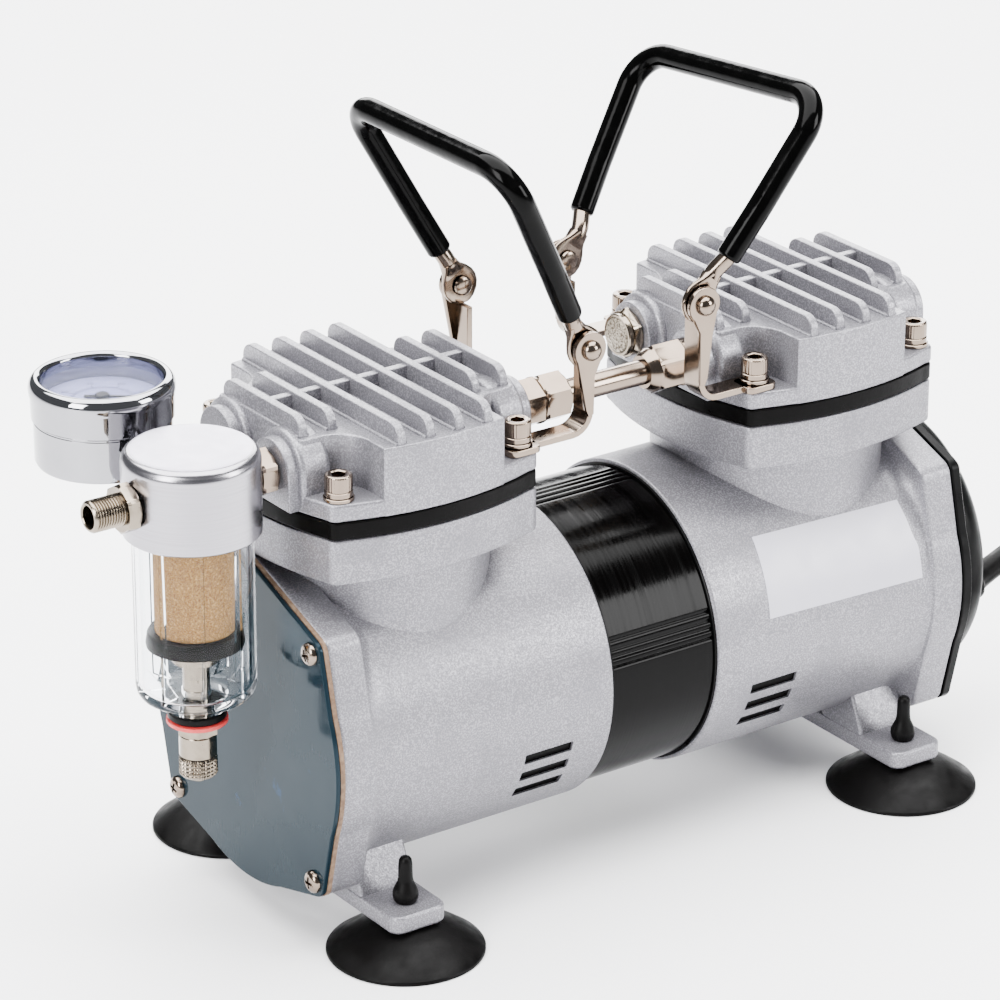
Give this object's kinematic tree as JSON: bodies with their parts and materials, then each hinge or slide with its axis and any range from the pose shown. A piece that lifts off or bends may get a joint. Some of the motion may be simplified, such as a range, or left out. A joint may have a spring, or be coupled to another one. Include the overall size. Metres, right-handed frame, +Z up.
{
  "type": "twin-cylinder piston vacuum pump",
  "caption": "Oil-free piston vacuum pump: a motor between two finned cylinders, intake filter with gauge, folding lifting handles, suction feet and a mains lead",
  "frame": {"origin": "on the floor under the middle of the pump, leaving out the mains lead that lies beside it", "axes": "+X along the motor shaft from the intake filter towards the cord end, +Y across the pump, +Z up"},
  "size_m": [0.5039, 0.2061, 0.2403],
  "materials": {
    "silver_paint": "silver paint with a fine sandy grain on cast aluminium",
    "nickel": "warm bright nickel plate",
    "black_rubber": "matt black moulded rubber",
    "grip_sleeve": "shiny black heat-shrunk sleeve",
    "black_plastic": "black moulded plastic with a soft sheen",
    "cord_jacket": "black cable jacket",
    "black_plate": "black coated valve plate",
    "black_laminate": "gloss black varnished laminations",
    "zinc_plate": "bluish zinc plate, slightly scuffed",
    "bare_aluminium": "turned bare aluminium",
    "chrome": "polished chrome",
    "steel": "machined steel",
    "sintered_bronze": "grey-gold sintered bronze",
    "copper_winding": "varnished copper wire",
    "fibre_gasket": "brown pressed fibre",
    "sintered_element": "tan porous filter element",
    "clear_bowl": "clear moulded polycarbonate",
    "needle_black": "black painted pointer"
  },
  "bodies": {
    "pump_body": {"front_housing": "silver_paint", "front_deck": "silver_paint", "front_cylinder": "steel", "front_valve_plate": "black_plate", "front_head": "silver_paint", "front_head_bolt_1": "nickel", "front_head_bolt_2": "nickel", "front_head_bolt_3": "nickel", "front_head_bolt_4": "nickel", "front_suction_foot_1": "black_rubber", "front_suction_foot_2": "black_rubber", "front_muffler": "sintered_bronze", "front_tube_nut": "nickel", "front_handle_bracket_1": "nickel", "front_handle_bracket_2": "nickel", "rear_housing": "silver_paint", "rear_deck": "silver_paint", "rear_cylinder": "steel", "rear_valve_plate": "black_plate", "rear_head": "silver_paint", "rear_head_bolt_1": "nickel", "rear_head_bolt_2": "nickel", "rear_head_bolt_3": "nickel", "rear_head_bolt_4": "nickel", "rear_suction_foot_1": "black_rubber", "rear_suction_foot_2": "black_rubber", "rear_muffler": "sintered_bronze", "rear_tube_nut": "nickel", "rear_handle_bracket_1": "nickel", "rear_handle_bracket_2": "nickel", "stator_core": "black_laminate", "stator_winding": "copper_winding", "end_plate_gasket": "fibre_gasket", "end_plate": "zinc_plate", "end_cover": "black_plastic", "cross_tube": "nickel", "filter_head": "bare_aluminium", "filter_bowl": "clear_bowl", "filter_element": "sintered_element", "drain_valve": "steel", "inlet_fitting": "bare_aluminium", "filter_nipple": "nickel", "gauge_case": "chrome", "strain_relief": "black_rubber", "power_cord": "cord_jacket", "cord_coil": "cord_jacket", "plug": "black_plastic"},
    "rotor": {"motor_shaft": "steel", "rotor_core": "steel", "cooling_fan": "black_plastic", "front_crank": "steel", "rear_crank": "steel"},
    "front_piston": {"front_piston_rod": "bare_aluminium"},
    "rear_piston": {"rear_piston_rod": "bare_aluminium"},
    "front_handle": {"front_handle_rod": "nickel", "front_handle_grip": "grip_sleeve"},
    "rear_handle": {"rear_handle_rod": "nickel", "rear_handle_grip": "grip_sleeve"},
    "drain_cock": {"drain_knob": "steel"},
    "gauge_pointer": {"gauge_needle": "needle_black"}
  },
  "joints": [
    {"name": "shaft_spin", "type": "hinge", "parent": "pump_body", "child": "rotor", "pos_m": [0.02155, 0, 0.0633], "axis": [1, 0, 0], "continuous": true},
    {"name": "front_piston_pin", "type": "hinge", "parent": "rotor", "child": "front_piston", "pos_m": [-0.05545, 0, 0.0683], "axis": [1, 0, 0], "continuous": true},
    {"name": "rear_piston_pin", "type": "hinge", "parent": "rotor", "child": "rear_piston", "pos_m": [0.09955, 0, 0.0583], "axis": [1, 0, 0], "continuous": true},
    {"name": "front_handle_hinge", "type": "hinge", "parent": "pump_body", "child": "front_handle", "pos_m": [0.00205, 0, 0.1735], "axis": [0, 1, 0], "range_deg": [-63, 31.7]},
    {"name": "rear_handle_hinge", "type": "hinge", "parent": "pump_body", "child": "rear_handle", "pos_m": [0.04405, 0, 0.176], "axis": [-0.0379, 0.9963, -0.0777], "range_deg": [-41.6, 52]},
    {"name": "drain_cock_turn", "type": "hinge", "parent": "pump_body", "child": "drain_cock", "pos_m": [-0.12675, -0.015, 0.0626], "axis": [0, 0, 1], "range_deg": [0, 360]},
    {"name": "gauge_pointer_turn", "type": "hinge", "parent": "pump_body", "child": "gauge_pointer", "pos_m": [-0.12675, 0.035, 0.165], "axis": [0, 0, 1], "range_deg": [0, 180]}
  ],
  "couplings": [
    {"joint": "front_piston_pin", "follows": "shaft_spin", "ratio": -1},
    {"joint": "rear_piston_pin", "follows": "shaft_spin", "ratio": -1}
  ]
}
